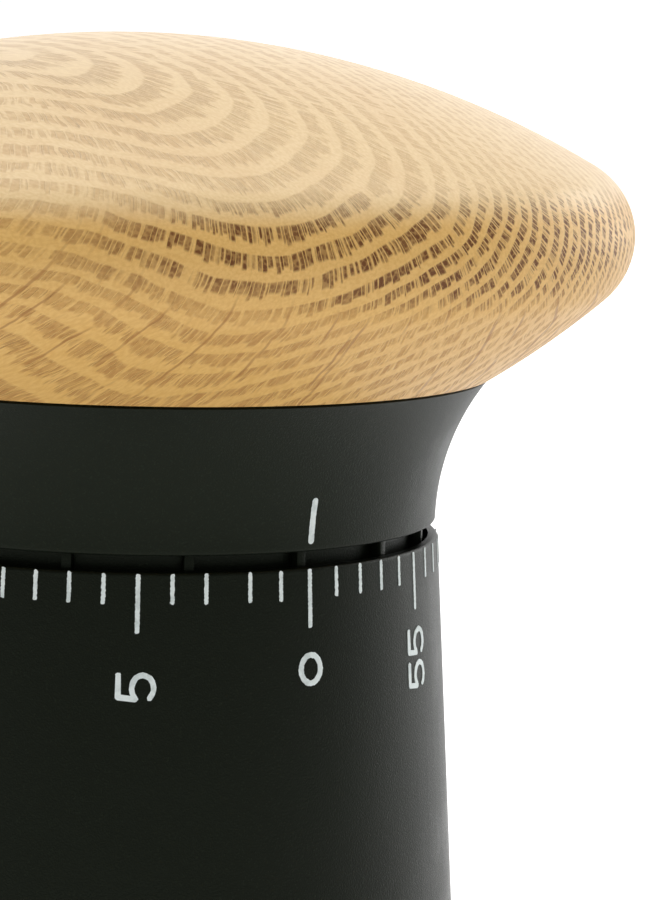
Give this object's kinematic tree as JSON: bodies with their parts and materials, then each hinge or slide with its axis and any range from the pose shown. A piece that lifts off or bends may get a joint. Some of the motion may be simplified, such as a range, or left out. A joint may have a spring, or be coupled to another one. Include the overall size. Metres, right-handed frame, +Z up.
{
  "type": "mechanical kitchen timer",
  "caption": "Wind-up kitchen timer: a tapered black body with a minute scale, a flared collar with an index line and a wide turned oak knob, over a clockwork movement and a bell.",
  "frame": {"origin": "middle of the foot ring's underside, on the table", "axes": "+Z up along the knob's axis; the zero mark and the index line face -Y"},
  "size_m": [0.0799, 0.08, 0.0796],
  "materials": {
    "black_plastic": "moulded black plastic with a fine matte spark grain",
    "collar_plastic": "moulded black plastic with a fine matte spark grain",
    "oak": "turned and oiled oak with open pores",
    "rubber": "matte black rubber",
    "steel": "stamped and turned steel, light brushed grain",
    "spring_steel": "blued spring steel strip and wire",
    "brass": "stamped brass, light brushed grain",
    "bell_steel": "nickel-plated steel",
    "zinc_screw": "zinc-plated steel fasteners"
  },
  "bodies": {
    "housing": {"body_shell": "black_plastic", "deck": "black_plastic", "base_cover": "black_plastic", "cover_screws": "zinc_screw", "foot_ring": "rubber", "front_plate": "brass", "back_plate": "brass", "plate_pillars": "steel", "pillar_nuts": "zinc_screw", "movement_screws": "zinc_screw", "mainspring": "spring_steel", "spring_post": "steel", "bell": "bell_steel", "bell_post": "steel", "bell_screw": "zinc_screw", "lever_stud": "steel", "hammer_spring": "spring_steel", "lever_spring": "spring_steel"},
    "dial": {"wood_knob": "oak", "collar": "collar_plastic", "knob_screws": "zinc_screw", "hub_clip": "spring_steel", "winding_arbor": "steel", "ratchet_wheel": "steel", "release_cam": "steel"},
    "great": {"great_wheel": "brass", "click_stud": "steel", "click_spring": "spring_steel"},
    "pawl": {"click": "steel"},
    "second": {"second_arbor": "steel", "second_wheel": "brass"},
    "third": {"third_arbor": "steel", "third_wheel": "brass"},
    "fourth": {"fourth_arbor": "steel", "fourth_wheel": "brass", "strike_wheel": "steel"},
    "escape": {"escape_arbor": "steel", "escape_wheel": "brass"},
    "pallet": {"pallet_arbor": "steel", "pallet_lever": "steel", "pallet_pins": "steel"},
    "release": {"release_lever": "steel"},
    "hammer": {"hammer_arbor": "steel", "hammer_arm": "steel", "hammer_head": "brass", "hammer_tail": "steel", "hammer_stop": "steel"}
  },
  "joints": [
    {"name": "knob_turn", "type": "hinge", "parent": "housing", "child": "dial", "pos_m": [0, 0, 0.05], "axis": [0, 0, -1], "range_deg": [0, 354]},
    {"name": "great_wheel_turn", "type": "hinge", "parent": "housing", "child": "great", "pos_m": [0, 0, 0.0228], "axis": [0, 0, -1], "continuous": true},
    {"name": "click_lift", "type": "hinge", "parent": "great", "child": "pawl", "pos_m": [-0.00743, 0.00347, 0.0242], "axis": [0, 0, 1], "range_deg": [0, 10]},
    {"name": "second_wheel_turn", "type": "hinge", "parent": "housing", "child": "second", "pos_m": [0.014, 0, 0.023], "axis": [0, 0, 1], "continuous": true},
    {"name": "third_wheel_turn", "type": "hinge", "parent": "housing", "child": "third", "pos_m": [0.01115, 0.00879, 0.023], "axis": [0, 0, 1], "continuous": true},
    {"name": "fourth_wheel_turn", "type": "hinge", "parent": "housing", "child": "fourth", "pos_m": [0.00423, 0.01355, 0.023], "axis": [0, 0, 1], "continuous": true},
    {"name": "escape_wheel_turn", "type": "hinge", "parent": "housing", "child": "escape", "pos_m": [-0.00301, 0.01387, 0.023], "axis": [0, 0, 1], "continuous": true},
    {"name": "pallet_rock", "type": "hinge", "parent": "housing", "child": "pallet", "pos_m": [-0.00927, 0.01179, 0.023], "axis": [0, 0, 1], "range_deg": [-2, 2]},
    {"name": "release_lever_drop", "type": "hinge", "parent": "housing", "child": "release", "pos_m": [-0.01502, 0.00607, 0.027], "axis": [0, 0, 1], "range_deg": [-8, 0]},
    {"name": "hammer_strike", "type": "hinge", "parent": "housing", "child": "hammer", "pos_m": [0.0007, 0.01999, 0.023], "axis": [0, 0, 1], "range_deg": [-6.2, 0]}
  ],
  "couplings": [
    {"joint": "great_wheel_turn", "follows": "knob_turn", "ratio": 1},
    {"joint": "second_wheel_turn", "follows": "knob_turn", "ratio": 6},
    {"joint": "third_wheel_turn", "follows": "knob_turn", "ratio": -33.6},
    {"joint": "fourth_wheel_turn", "follows": "knob_turn", "ratio": 168},
    {"joint": "escape_wheel_turn", "follows": "knob_turn", "ratio": -806.4}
  ]
}
